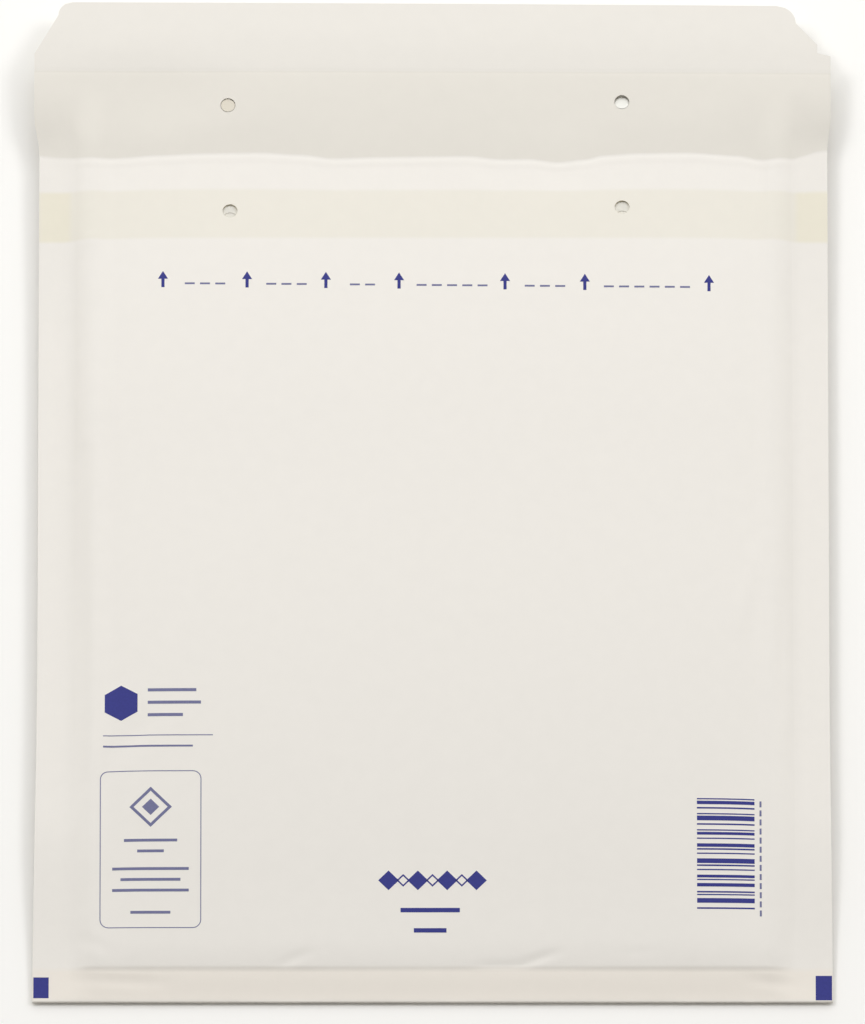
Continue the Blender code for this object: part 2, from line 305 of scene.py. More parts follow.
def front_height(x, y):
    return back_height(x, y) + 2 * PAPER + room(x, y) + relief(x, y)


for spot, x in (("middle", 0.0), ("seam", BODY_HALF - 2.0 * MM)):
    print("front panel at its", spot, "in mm:", round(front_height(x, 0.0) * 1000, 2))

# %% [markdown]
# ## The flap
#
# Past the crease the same sheet runs on as a single layer. It springs up a little from the crease,
# bends over the inner edge of the release liner and then lies almost level. It is a sum of soft
# steps and bells again, so that its rows go on from those of the front panel without a break.

# %% Form of the flap
FLAP_RISE = 3.2 * MM
FLAP_RISE_RUN = 44.0 * MM
FLAP_SETTLE_RUN = 22.0 * MM
FLAP_SAG_LEFT = 0.3 * MM
FLAP_SAG_RIGHT = 0.6 * MM
FLAP_END_FALL = 0.3 * MM
HOLLOW = 0.5 * MM
FLAP_SWELL = 0.16 * MM
LINER_KINK = 0.05 * MM


def flap_height(x, run):
    rise = FLAP_RISE * (1.0 - (1.0 - share_of(run, 0.0, FLAP_RISE_RUN)) ** 2)
    drop = front_height(0.0, CREASE_Y) - front_height(x, CREASE_Y)
    settled = ramp(run, 0.0, FLAP_SETTLE_RUN)
    sag = (FLAP_SAG_LEFT if x < 0 else FLAP_SAG_RIGHT) * share_of(abs(x), 0.0, BODY_HALF) ** 2.5
    fall = FLAP_END_FALL * ramp(run, LINER_RUN + 6.0 * MM, FLAP_LENGTH - LINER_RUN)
    hollow = HOLLOW * bell(math.hypot(x + 0.090, (run - 0.020) * 2.2), 0.036)
    swell = noise.noise(Vector((x * 20.0, run * 30.0, 5.3))) * FLAP_SWELL * settled
    kink = LINER_KINK * bell(run - LINER_RUN, 1.2 * MM)
    start = front_height(0.0, CREASE_Y) - drop * (1.0 - settled) - sag * settled
    return start + rise - fall - hollow - kink + swell


flap_ends = [round(flap_height(0.0, run) * 1000, 2) for run in (0.0, FLAP_LENGTH)]
print("flap at the crease and at its end in mm:", flap_ends)

# %% [markdown]
# ## The flap's outline
#
# The die cut takes a notch, a slant and a round corner off the right side, and a slant and a corner
# off the left. At the crease both sides are drawn in a little by the padding. A curve object could
# hold the outline, but narrowing the rows of the sheet keeps the paper in one piece.

# %% Outline of the flap
FLAP_SKEW = 0.0055
FLAP_STRAIGHT = 33.1 * MM
NOTCH_LENGTH = 1.2 * MM
RIGHT_SLANT_START = 37.0 * MM
RIGHT_SLANT_END = 44.2 * MM
LEFT_SLANT_END = 45.7 * MM
RIGHT_NOTCH_CUT = 4.0 * MM
RIGHT_SLANT_CUT = 6.5 * MM
RIGHT_CORNER_CUT = 6.0 * MM
LEFT_SLANT_CUT = 7.2 * MM
LEFT_CORNER_CUT = 4.3 * MM
FLAP_WIDENING = 0.5 * MM
WIDENING_RUN = 14.0 * MM
WAIST_LEFT = 1.1 * MM
WAIST_RIGHT = 0.6 * MM
WAVE_REACH = 14.0 * MM


def rounded_end(run, start):
    corner = share_of(run, start, FLAP_LENGTH)
    return 1.0 - math.sqrt(max(1.0 - corner * corner, 0.0))


def right_cut(run):
    notch = RIGHT_NOTCH_CUT * ramp(run, FLAP_STRAIGHT, NOTCH_LENGTH)
    slant = RIGHT_SLANT_CUT * share_of(run, RIGHT_SLANT_START, RIGHT_SLANT_END)
    return notch + slant + RIGHT_CORNER_CUT * rounded_end(run, RIGHT_SLANT_END)


def left_cut(run):
    slant = LEFT_SLANT_CUT * share_of(run, FLAP_STRAIGHT, LEFT_SLANT_END)
    return slant + LEFT_CORNER_CUT * rounded_end(run, LEFT_SLANT_END)


def flap_x(x, run, inset=0.0):
    cut = right_cut(run) if x > 0 else left_cut(run)
    waist = WAIST_RIGHT if x > 0 else WAIST_LEFT
    opened = ramp(run, 0.0, WIDENING_RUN)
    widened = FLAP_WIDENING * opened - waist * (1.0 - opened)
    return x * (BODY_HALF + widened - cut - inset) / BODY_HALF


def body_x(x, y):
    """The padding pulls the two side seams in a little, except at the flat bottom fold."""
    waist = WAIST_RIGHT if x > 0 else WAIST_LEFT
    return x * (BODY_HALF - waist * ramp(y, BOTTOM_Y, 110.0 * MM)) / BODY_HALF


def flap_place(x, run, depth=0.0, inset=0.0):
    px = flap_x(x, run, inset)
    skew = FLAP_SKEW * px * share_of(run, 0.0, FLAP_LENGTH)
    wave = crease_shift(px) * bell(run, WAVE_REACH)
    return px, CREASE_Y + run - skew + wave, flap_height(px, run) - depth


def panel_place(x, y):
    px = body_x(x, y)
    return px, y + crease_shift(px) * bell(y - CREASE_Y, WAVE_REACH), front_height(px, y)


end_width = flap_x(BODY_HALF, FLAP_LENGTH) - flap_x(-BODY_HALF, FLAP_LENGTH)
print("flap at its end:", round(end_width * 1000, 1), "mm wide")

# %% [markdown]
# ## Sheets
#
# Each layer starts as a flat grid, because a grid has neat rows to bend and a flat map to colour by.
# The rows are then laid where the layer goes, and Blender's solidify operator gives it thickness. The
# stations of the grid lie close together where the paper bends and wide apart where it is flat.

# %% Make a bent sheet


def spread(start, end, cells):
    return [start + (end - start) * k / cells for k in range(cells + 1)]


def joined(*runs):
    stations = []
    for run in runs:
        stations += [value for value in run if not stations or abs(value - stations[-1]) > 1e-7]
    return stations


def mirrored(right):
    return [-value for value in reversed(right[1:])] + right


def bent_sheet(name, rows, thickness, lengths=None, widths=None):
    """A grid laid to rows of points, outer face first, and thickened inwards."""
    down, across = len(rows) - 1, len(rows[0]) - 1
    bm = bmesh.new()
    sheet_map = bm.loops.layers.uv.new("sheet")
    bmesh.ops.create_grid(bm, x_segments=across, y_segments=down, size=0.5)
    spots = {}
    for vertex in bm.verts:
        i = round((vertex.co.x + 0.5) * across)
        j = round((vertex.co.y + 0.5) * down)
        spots[vertex] = (widths[i] if widths else i / across, lengths[j] if lengths else j / down)
        vertex.co = rows[j][i]
    for face in bm.faces:
        for loop in face.loops:
            loop[sheet_map].uv = spots[loop.vert]
    bm.normal_update()
    bmesh.ops.solidify(bm, geom=bm.faces[:], thickness=thickness)
    return finished(name, bm)


def finished(name, bm, angle=40.0):
    """Turns a bmesh into an object, smooth but with its true edges sharp."""
    mesh = bpy.data.meshes.new(name)
    bm.normal_update()
    bm.to_mesh(mesh)
    bm.free()
    mesh.shade_smooth()
    mesh.set_sharp_from_angle(angle=math.radians(angle))
    obj = bpy.data.objects.new(name, mesh)
    bpy.context.scene.collection.objects.link(obj)
    print(name, len(mesh.polygons), "faces")
    return obj


# %% [markdown]
# ## Stations of the paper
#
# One sheet of white kraft paper makes the whole outside. Its rows run from the mouth edge of the
# back panel, round the bottom fold, up the front panel and over the crease to the end of the flap.

# %% Stations of the paper
MOUTH_Y = CREASE_Y - 1.0 * MM
FOLD_Y = BOTTOM_Y + FOLD_RADIUS

cover_columns = mirrored(
    joined(
        spread(0.0, 84.0 * MM, 38),
        spread(84.0 * MM, PAD_HALF, 26),
        spread(PAD_HALF, BODY_HALF, 3),
    )
)
front_stations = joined(
    spread(FOLD_Y, BOTTOM_LINE_Y - 1.5 * MM, 8),
    spread(BOTTOM_LINE_Y - 1.5 * MM, BOTTOM_LINE_Y + 1.5 * MM, 10),
    spread(BOTTOM_LINE_Y + 1.5 * MM, BOTTOM_LINE_Y + 14.0 * MM, 14),
    spread(BOTTOM_LINE_Y + 14.0 * MM, CREASE_Y - 16.0 * MM, 108),
    spread(CREASE_Y - 16.0 * MM, CREASE_Y - 4.0 * MM, 8),
    spread(CREASE_Y - 4.0 * MM, CREASE_Y, 8),
)
back_stations = joined(
    spread(FOLD_Y, FILM_BOTTOM_Y, 6),
    spread(FILM_BOTTOM_Y, FILM_BOTTOM_Y + LIFT_RUN, 5),
    spread(FILM_BOTTOM_Y + LIFT_RUN, MOUTH_Y, 40),
)
flap_stations = joined(
    spread(0.0, 4.0 * MM, 7),
    spread(4.0 * MM, LINER_RUN - 1.5 * MM, 15),
    spread(LINER_RUN - 1.5 * MM, LINER_RUN + 1.5 * MM, 6),
    spread(LINER_RUN + 1.5 * MM, FLAP_STRAIGHT, 2),
    spread(FLAP_STRAIGHT, FLAP_STRAIGHT + NOTCH_LENGTH, 3),
    spread(FLAP_STRAIGHT + NOTCH_LENGTH, RIGHT_SLANT_START, 2),
    spread(RIGHT_SLANT_START, RIGHT_SLANT_END, 4),
    [LEFT_SLANT_END],
    spread(LEFT_SLANT_END, FLAP_LENGTH, 7),
)
print("stations:", len(cover_columns), "across and", len(front_stations), "along the front panel")

# %% [markdown]
# ## The paper cover
#
# Each row of the sheet is laid at its station. The sheet's own length, measured from the end of the
# flap, is kept in its map, so that the paper's material can tell the flap, the glue band and the
# back panel apart. A map made by unwrapping would do, but its places would have to be looked up.

# %% Lay the paper
PAPER_MAP = 0.65
paper_rows = []
paper_lengths = []
for y in reversed(back_stations):
    paper_rows.append([(body_x(x, y), y, back_height(body_x(x, y), y)) for x in cover_columns])
    paper_lengths.append(FLAP_LENGTH + CREASE_Y - FOLD_Y + math.pi * FOLD_RADIUS + y - FOLD_Y)
for angle in spread(-math.pi / 2, math.pi / 2, 8)[1:-1]:
    out = FOLD_RADIUS * math.cos(angle)
    up = FOLD_RADIUS * (1.0 + math.sin(angle))
    row = []
    for x in cover_columns:
        px = body_x(x, FOLD_Y)
        row.append((px, FOLD_Y - out, back_height(px, FOLD_Y) + up))
    paper_rows.append(row)
    paper_lengths.append(FLAP_LENGTH + CREASE_Y - FOLD_Y + FOLD_RADIUS * (math.pi / 2 - angle))
for y in front_stations:
    paper_rows.append([panel_place(x, y) for x in cover_columns])
    paper_lengths.append(FLAP_LENGTH + CREASE_Y - y)
for run in flap_stations[1:]:
    paper_rows.append([flap_place(x, run) for x in cover_columns])
    paper_lengths.append(FLAP_LENGTH - run)

paper_widths = [x / PAPER_MAP + 0.5 for x in cover_columns]
paper_runs = [s / PAPER_MAP for s in paper_lengths]
paper_cover = bent_sheet("paper_cover_sheet", paper_rows, PAPER, paper_runs, paper_widths)

# %% [markdown]
# ## Vent holes
#
# Small round holes let the air out. They are punched through the closed envelope, so each one in the
# flap has a twin in the body. A Boolean with a round cutter leaves a clean edge, and the cut mesh is
# kept instead of the modifier, because the map and the cut are then fixed.

# %% Punch the vent holes
VENT_RADIUS = 2.25 * MM
VENTS = {
    "flap_left": (-61.9 * MM, CREASE_Y + 16.8 * MM),
    "flap_right": (57.3 * MM, CREASE_Y + 17.8 * MM),
    "body_left": (-61.2 * MM, CREASE_Y - 17.9 * MM),
    "body_right": (57.3 * MM, CREASE_Y - 16.6 * MM),
}


def vent_cutter(x, y):
    bm = bmesh.new()
    bmesh.ops.create_cone(
        bm,
        cap_ends=True,
        segments=40,
        radius1=VENT_RADIUS,
        radius2=VENT_RADIUS,
        depth=40.0 * MM,
        matrix=Matrix.Translation((x, y, 0.0)),
    )
    mesh = bpy.data.meshes.new("vent_cutter")
    bm.to_mesh(mesh)
    bm.free()
    cutter = bpy.data.objects.new("vent_cutter", mesh)
    bpy.context.scene.collection.objects.link(cutter)
    return cutter


def punched(obj, places):
    cutters = [vent_cutter(x, y) for x, y in places]
    for cutter in cutters:
        boolean = obj.modifiers.new("vent", "BOOLEAN")
        boolean.operation = "DIFFERENCE"
        boolean.solver = "EXACT"
        boolean.object = cutter
    bpy.context.view_layer.update()
    cut = bpy.data.meshes.new_from_object(obj.evaluated_get(bpy.context.evaluated_depsgraph_get()))
    obj.modifiers.clear()
    obj.data = cut
    for cutter in cutters:
        bpy.data.objects.remove(cutter)
    print(obj.name, "punched,", len(cut.polygons), "faces")


punched(paper_cover, VENTS.values())

# %% [markdown]
# ## Materials
#
# Every finish here is a Principled shader. Its colour is blended from two tones, tinted in fields or
# mottled by noise, and fibres and soft cockles are noise as bump, too fine to model. Helpers keep
# each finish down to the few lines that differ.

# %% Blend and tint colours


def node(tree, kind, **inputs):
    made = tree.nodes.new(kind)
    for key, value in inputs.items():
        made.inputs[key].default_value = value
    return made


def new_material(name, colour, roughness, specular=0.5):
    material = bpy.data.materials.new(name)
    material.use_nodes = True
    shader = material.node_tree.nodes["Principled BSDF"]
    shader.inputs["Base Color"].default_value = (*colour, 1.0)
    shader.inputs["Roughness"].default_value = roughness
    shader.inputs["Specular IOR Level"].default_value = specular
    return material, material.node_tree, shader


def blended(tree, factor, first, second):
    """A colour that goes from the first to the second as the factor goes from 0 to 1."""
    mix = tree.nodes.new("ShaderNodeMix")
    mix.data_type = "RGBA"
    tree.links.new(factor, mix.inputs["Factor"])
    mix.inputs[6].default_value = (*first, 1.0)
    mix.inputs[7].default_value = (*second, 1.0)
    return mix.outputs[2]


def mottled(tree, colour, change, scale, detail):
    """The colour, a little darker and lighter from place to place."""
    place = tree.nodes.new("ShaderNodeTexCoord")
    grain = node(tree, "ShaderNodeTexNoise", Scale=scale, Detail=detail)
    tree.links.new(place.outputs["Object"], grain.inputs["Vector"])
    darker = [(1.0 - change) * c for c in colour]
    lighter = [(1.0 + change) * c for c in colour]
    return blended(tree, grain.outputs["Fac"], darker, lighter)


def times(tree, a, b):
    both = tree.nodes.new("ShaderNodeMath")
    both.operation = "MULTIPLY"
    for socket, value in zip(both.inputs, (a, b)):
        tree.links.new(value, socket)
    return both.outputs["Value"]


def field(tree, socket, start, end, soft):
    """1 between two places along a map, 0 outside, with soft edges."""
    rise = tree.nodes.new("ShaderNodeMapRange")
    rise.interpolation_type = "SMOOTHSTEP"
    fall = tree.nodes.new("ShaderNodeMapRange")
    fall.interpolation_type = "SMOOTHSTEP"
    for ranged, low, high, first, last in (
        (rise, start - soft, start + soft, 0.0, 1.0),
        (fall, end - soft, end + soft, 1.0, 0.0),
    ):
        tree.links.new(socket, ranged.inputs["Value"])
        ranged.inputs["From Min"].default_value = low
        ranged.inputs["From Max"].default_value = high
        ranged.inputs["To Min"].default_value = first
        ranged.inputs["To Max"].default_value = last
    return times(tree, rise.outputs["Result"], fall.outputs["Result"])


def tinted(tree, colour, mask, tint):
    """The colour multiplied by a tint where the mask is 1."""
    mix = tree.nodes.new("ShaderNodeMix")
    mix.data_type = "RGBA"
    mix.blend_type = "MULTIPLY"
    tree.links.new(mask, mix.inputs["Factor"])
    tree.links.new(colour, mix.inputs[6])
    mix.inputs[7].default_value = (*tint, 1.0)
    return mix.outputs[2]


def noise_bump(tree, shader, layers):
    """Bump from noise in the object's space: scale per metre, detail and height in metres."""
    place = tree.nodes.new("ShaderNodeTexCoord")
    normal = None
    for scale, detail, height in layers:
        grain = node(tree, "ShaderNodeTexNoise", Scale=scale, Detail=detail)
        tree.links.new(place.outputs["Object"], grain.inputs["Vector"])
        raised = node(tree, "ShaderNodeBump", Strength=1.0, Distance=height)
        tree.links.new(grain.outputs["Fac"], raised.inputs["Height"])
        if normal:
            tree.links.new(normal, raised.inputs["Normal"])
        normal = raised.outputs["Normal"]
    tree.links.new(normal, shader.inputs["Normal"])


# %% [markdown]
# ## The finish of the paper
#
# White kraft paper is matt and a little warm. The bare flap is one layer over the shaded room below,
# so painted shade makes it greyer; where the liner backs it the painted shade is lighter, and a thin
# line of painted shade marks the liner's edge. Where the glue band backs the panel, the paper is
# yellower. Those fields lie at fixed places on the sheet, so each is a smooth step up and down along
# the sheet's own map. Separate materials would leave hard seams where the real fields fade.

# %% White kraft paper
PAPER_COLOUR = (0.860, 0.828, 0.778)
BAND_START = FLAP_LENGTH + 10.8 * MM
BAND_END = FLAP_LENGTH + 27.0 * MM


def along_sheet(start, end):
    return start / PAPER_MAP, end / PAPER_MAP


def kraft_paper():
    material, tree, shader = new_material("white_kraft_paper", PAPER_COLOUR, 0.78, 0.25)
    sheet_map = tree.nodes.new("ShaderNodeUVMap")
    sheet_map.uv_map = "sheet"
    parts = tree.nodes.new("ShaderNodeSeparateXYZ")
    tree.links.new(sheet_map.outputs["UV"], parts.inputs["Vector"])
    across, along = parts.outputs["X"], parts.outputs["Y"]

    colour = mottled(tree, PAPER_COLOUR, 0.015, 210.0, 3.0)
    liner_edge = FLAP_LENGTH - LINER_RUN
    # Painted shade: the bare flap is one layer over the shaded room below, so it is tinted greyer.
    painted_shade_bare_flap = field(tree, along, *along_sheet(liner_edge, FLAP_LENGTH - 0.5 * MM), 0.0006)
    colour = tinted(tree, colour, painted_shade_bare_flap, (0.955, 0.950, 0.925))
    # Painted shade, lighter: where the liner backs the flap, less of the shade below shows through.
    painted_shade_backed_flap = field(tree, along, *along_sheet(-5.0 * MM, liner_edge), 0.0006)
    colour = tinted(tree, colour, painted_shade_backed_flap, (0.968, 0.967, 0.958))
    # Painted shade: a thin darker line along the liner's edge, where the flap bends.
    painted_shade_edge_line = field(tree, along, *along_sheet(liner_edge - 0.15 * MM, liner_edge + 0.35 * MM), 0.0005)
    colour = tinted(tree, colour, painted_shade_edge_line, (0.962, 0.962, 0.955))
    band = field(tree, along, *along_sheet(BAND_START, BAND_END), 0.0012)
    colour = tinted(tree, colour, band, (0.965, 0.960, 0.917))
    fold_at = FLAP_LENGTH + CREASE_Y - FOLD_Y
    bottom_margin = field(tree, along, *along_sheet(fold_at - 10.0 * MM, fold_at), 0.002)
    colour = tinted(tree, colour, bottom_margin, (1.01, 0.985, 0.955))
    half = BODY_HALF / PAPER_MAP
    left_end = field(tree, across, 0.5 - half, 0.5 - half + 9.5 * MM / PAPER_MAP, 0.002)
    right_end = field(tree, across, 0.5 + half - 9.5 * MM / PAPER_MAP, 0.5 + half + 0.01, 0.002)
    for end in (left_end, right_end):
        colour = tinted(tree, colour, times(tree, band, end), (1.0, 0.99, 0.93))
    tree.links.new(colour, shader.inputs["Base Color"])
    noise_bump(tree, shader, ((70.0, 2.0, 0.00006), (900.0, 3.0, 0.000012)))
    return material


paper_material = kraft_paper()
print(paper_material.name, "has", len(paper_material.node_tree.nodes), "nodes")
paper_cover.data.materials.clear()
paper_cover.data.materials.append(paper_material)
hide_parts("paper_cover")
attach(paper_cover, "root")

# %% [markdown]
# ## The bubble lining
#
# The film is two welded layers: a flat one against the paper and one with round bubbles that faces
# the goods. It is seen only through the mouth and the vent holes. The flat layer is a bent sheet, and
# each bubble is a low dome of a few dozen faces. A displaced grid would need many more.

# %% Lay the film
FILM = 0.22 * MM
FILM_SIDE = PAD_HALF - 3.5 * MM
BAND_Y = (CREASE_Y - 27.0 * MM, CREASE_Y - 10.8 * MM)
BAND_RISE = 3.5 * MM
FILM_FOLD_DEPTH = 1.2 * MM
FILM_DEPTH = 0.45 * MM
FILM_DEPTH_AT_BAND = 0.68 * MM


def film_depth(y):
    return FILM_DEPTH + (FILM_DEPTH_AT_BAND - FILM_DEPTH) * ramp(y, BAND_Y[0] - BAND_RISE, BAND_RISE)


def film_place(x, y, front, inwards=0.0):
    px = body_x(x, y)
    if front:
        return px, y, front_height(px, y) - film_depth(y) - inwards
    return px, y, back_height(px, y) + film_depth(y) + inwards


film_columns = mirrored(joined(spread(0.0, 84.0 * MM, 20), spread(84.0 * MM, FILM_SIDE, 14)))
film_stations = joined(
    spread(FILM_BOTTOM_Y + 1.6 * MM, FILM_BOTTOM_Y + 20.0 * MM, 10),
    spread(FILM_BOTTOM_Y + 20.0 * MM, BAND_Y[0] - BAND_RISE, 46),
    spread(BAND_Y[0] - BAND_RISE, MOUTH_Y - 0.5 * MM, 18),
)
film_fold_y = film_stations[0]
film_rows = [[film_place(x, y, False) for x in film_columns] for y in reversed(film_stations)]
for angle in spread(-math.pi / 2, math.pi / 2, 8)[1:-1]:
    row = []
    for x in film_columns:
        px, py, low = film_place(x, film_fold_y, False)
        high = film_place(x, film_fold_y, True)[2]
        middle, half = (low + high) / 2, (high - low) / 2
        row.append((px, py - FILM_FOLD_DEPTH * math.cos(angle), middle + half * math.sin(angle)))
    film_rows.append(row)
film_rows += [[film_place(x, y, True) for x in film_columns] for y in film_stations]
bubble_film = bent_sheet("bubble_film_sheet", film_rows, FILM)

# %% [markdown]
# The film has slipped a little since it was punched, so each vent hole in the paper shows the film
# with the edge of its own hole across it, and through that a bubble. The slip is given per hole.

# %% Punch the film
FILM_SLIP = {"body_left": -2.5 * MM, "body_right": -3.2 * MM}
film_vents = [(VENTS[name][0], VENTS[name][1] + slip) for name, slip in FILM_SLIP.items()]
punched(bubble_film, film_vents)

# %% [markdown]
# ## The bubbles of the film
#
# The bubbles stand in rows half a pitch apart, as closely as round shapes can. Each is a short cone
# with its cap inset and raised, which reads as a dome with few faces. Near the edges the pocket is
# low, so the bubbles there are squashed to fit in it.

# %% Set out the bubbles
BUBBLE_PITCH = 11.2 * MM
BUBBLE_RADIUS = 4.7 * MM
BUBBLE_HEIGHT = 1.15 * MM
BUBBLES_HALF = 96.0 * MM
SKIRT_HEIGHT = 0.6 * BUBBLE_HEIGHT
CAP_RADIUS = 0.84 * BUBBLE_RADIUS
CAP_INSET = 0.34 * BUBBLE_RADIUS
ROW_PITCH = 0.866 * BUBBLE_PITCH
FIRST_ROW_Y = FILM_BOTTOM_Y + 8.0 * MM


def lattice():
    """The middles of the bubbles: rows half a pitch apart, and one bubble under each hole."""
    places = list(film_vents)
    for j in range(int((MOUTH_Y - 4.0 * MM - FIRST_ROW_Y) / ROW_PITCH)):
        y = FIRST_ROW_Y + j * ROW_PITCH
        for i in range(-9, 10):
            x = (i + 0.5 * (j % 2)) * BUBBLE_PITCH
            clear = all(math.hypot(x - vx, y - vy) > 2.05 * BUBBLE_RADIUS for vx, vy in film_vents)
            if clear and abs(x) < BUBBLES_HALF:
                places.append((x, y))
    return places


def bubble_sheet(name, front):
    """Low domes on the film's inner face, laid on its slope, with their rims just in the film."""
    bm = bmesh.new()
    for x, y in lattice():
        dome = bmesh.ops.create_cone(
            bm,
            cap_ends=True,
            segments=12,
            radius1=BUBBLE_RADIUS,
            radius2=CAP_RADIUS,
            depth=SKIRT_HEIGHT,
            matrix=Matrix.Translation((x, y, SKIRT_HEIGHT / 2)),
        )
        caps = {face for vertex in dome["verts"] for face in vertex.link_faces if len(face.verts) == 12}
        top = max(caps, key=lambda face: face.calc_center_median().z)
        bmesh.ops.inset_region(bm, faces=[top], thickness=CAP_INSET)
        bmesh.ops.translate(bm, verts=top.verts[:], vec=(0.0, 0.0, BUBBLE_HEIGHT - SKIRT_HEIGHT))
    for vertex in bm.verts:
        x, y, raised = vertex.co
        squash = min(1.0, (room(x, y) - 1.0 * MM) / (2.4 * MM))
        vertex.co = film_place(x, y, front, FILM - 0.05 * MM + raised * squash)
    bmesh.ops.recalc_face_normals(bm, faces=bm.faces[:])
    return finished(name, bm, 55.0)


front_bubbles = bubble_sheet("front_bubbles", True)
back_bubbles = bubble_sheet("back_bubbles", False)

# %% [markdown]
# ## The plastic of the film
#
# Polyethylene film is milky and smooth. A clear shader would show every bubble behind it, so most of
# its light is sent back and a little is let through. A slow bump gives it uneven highlights.

# %% Polyethylene film


def film_plastic():
    material, tree, shader = new_material("bubble_film", (0.80, 0.775, 0.70), 0.22)
    shader.inputs["Transmission Weight"].default_value = 0.15
    shader.inputs["IOR"].default_value = 1.5
    noise_bump(tree, shader, ((260.0, 2.0, 0.00012),))
    return material


film_material = film_plastic()
for piece in (bubble_film, front_bubbles, back_bubbles):
    piece.data.materials.clear()
    piece.data.materials.append(film_material)
    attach(piece, "root")
    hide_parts("bubble_lining")

# %% [markdown]
# ## The closure strip
#
# Behind the outer half of the flap lie a strip of adhesive and, over it, a release liner with a slick
# silicone face. They follow the flap, so they are laid with the same function at a greater depth.

# %% Lay the adhesive and its liner
TAPE = 0.18 * MM
LINER = 0.12 * MM
TAPE_MARGIN = 2.5 * MM
strip_columns = mirrored(joined(spread(0.0, 82.0 * MM, 16), spread(82.0 * MM, BODY_HALF, 14)))


def flap_strip(name, start, end, inset, depth, thickness):
    runs = [start, *(run for run in flap_stations if start + 1e-6 < run < end - 1e-6), end]
    rows = [[flap_place(x, run, depth, inset) for x in strip_columns] for run in runs]
    return bent_sheet(name, rows, thickness)


tape_depth = PAPER + 0.03 * MM
tape_start, tape_end = LINER_RUN + TAPE_MARGIN, FLAP_LENGTH - TAPE_MARGIN
flap_adhesive = flap_strip("adhesive_strip", tape_start, tape_end, TAPE_MARGIN, tape_depth, TAPE)
liner_depth = tape_depth + TAPE + 0.04 * MM
release_liner = flap_strip("release_liner_strip", LINER_RUN, FLAP_LENGTH, 0.3 * MM, liner_depth, LINER)


def hot_melt():
    material, tree, shader = new_material("hot_melt", (0.74, 0.66, 0.42), 0.35)
    shader.inputs["Subsurface Weight"].default_value = 0.2
    shader.inputs["Subsurface Radius"].default_value = (0.004, 0.003, 0.002)
    noise_bump(tree, shader, ((400.0, 2.0, 0.0001),))
    return material


def silicone_paper():
    material, tree, shader = new_material("silicone_paper", (0.80, 0.79, 0.74), 0.3)
    noise_bump(tree, shader, ((120.0, 2.0, 0.00004),))
    return material


glue_material = hot_melt()
for piece, material, slot_name, stands_for in (
    (flap_adhesive, glue_material, "pressure_adhesive", "flap_adhesive"),
    (release_liner, silicone_paper(), "silicone_paper", "release_liner"),
):
    piece.data.materials.append(material)
    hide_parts(stands_for)
    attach(piece, "root")

# %% [markdown]
# ## Glue
#
# A band of hot melt holds the film to each panel below the mouth. It is a thin strip between paper and
# film, laid with their own height functions, and the vent holes go through it.

# %% Lay the glue bands
GLUE_DEPTH = PAPER + 0.05 * MM
GLUE = 0.30 * MM
glue_columns = [x for x in film_columns if abs(x) < FILM_SIDE - 1.0 * MM]
band_stations = spread(BAND_Y[0] + 0.3 * MM, BAND_Y[1] - 0.3 * MM, 10)
for name, front in (("mouth_glue_front", True), ("mouth_glue_back", False)):
    rows = []
    for y in band_stations if front else reversed(band_stations):
        inwards = GLUE_DEPTH - film_depth(y)
        rows.append([film_place(x, y, front, inwards) for x in glue_columns])
    band = bent_sheet(name + "_strip", rows, GLUE)
    punched(band, [VENTS["body_left"], VENTS["body_right"]])
    band.data.materials.clear()
    band.data.materials.append(glue_material)
    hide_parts(name)
    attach(band, "root")

# %% [markdown]
# ## The side seams
#
# A glue line closes each side. It lies in the gap that the two paper sheets leave between them, and
# a strip that follows the back panel fills that gap wherever the seam rises.

# %% Lay the glue lines of the seams
SEAM_GLUE = (FILM_HALF + 3.5 * MM, BODY_HALF - 1.4 * MM)
SEAM_GAP = 0.08 * MM
for name, side in (("seam_glue_left", -1.0), ("seam_glue_right", 1.0)):
    across = sorted(side * x for x in spread(*SEAM_GLUE, 3))
    rows = []
    for y in spread(BOTTOM_LINE_Y, MOUTH_Y - 1.0 * MM, 60):
        row = []
        for x in across:
            px = body_x(x, y)
            row.append((px, y, back_height(px, y) + PAPER + SEAM_ROOM - SEAM_GAP))
        rows.append(row)
    seam = bent_sheet(name + "_line", rows, SEAM_ROOM - 2 * SEAM_GAP)
    seam.data.materials.append(glue_material)
    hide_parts(name)
    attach(seam, "root")

# %% [markdown]
# ## Punched-out discs
#
# A punch often leaves its disc hanging. In the flap's right hole such a disc can be made out, tilted
# down by its lower edge. The left hole only looks pale, so its level disc is a guess, and its darker
# tone stands in for the shade there. Each is a thickened circle, turned about its lower edge.

# %% Hang the discs
CHAD_RADIUS = 2.1 * MM


def hung_disc(name, vent, tilt, sunk, material):
    x, y = VENTS[vent]
    bm = bmesh.new()
    bmesh.ops.create_circle(bm, cap_ends=True, segments=32, radius=CHAD_RADIUS)
    bmesh.ops.solidify(bm, geom=bm.faces[:], thickness=0.15 * MM)
    hinge = Matrix.Translation((x, y - CHAD_RADIUS, flap_height(x, y - CREASE_Y) - sunk))
    tilted = Matrix.Rotation(math.radians(-tilt), 4, "X")
    turned = hinge @ tilted @ Matrix.Translation((0.0, CHAD_RADIUS, 0.0))
    bmesh.ops.transform(bm, matrix=turned, verts=bm.verts[:])
    bmesh.ops.recalc_face_normals(bm, faces=bm.faces[:])
    piece = finished(name, bm)
    piece.data.materials.append(material)
    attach(piece, "root")


shaded_paper = new_material("shaded_paper", (0.74, 0.69, 0.59), 0.8, 0.2)[0]
hung_disc("vent_disc_right", "flap_right", 13.0, 0.12 * MM, bpy.data.materials["silicone_paper"])
hung_disc("vent_disc_left", "flap_left", 2.0, 0.12 * MM, shaded_paper)

# %% [markdown]
# ## Printed marks
#
# The print is navy ink on the front panel. Each mark starts as a flat shape at its place. Painting
# the marks in the material would work too, but as thin pieces their edges stay crisp at any
# distance. The marks are plain shapes: arrows, a tile, bars, a frame and blocks.

# %% Flat shapes


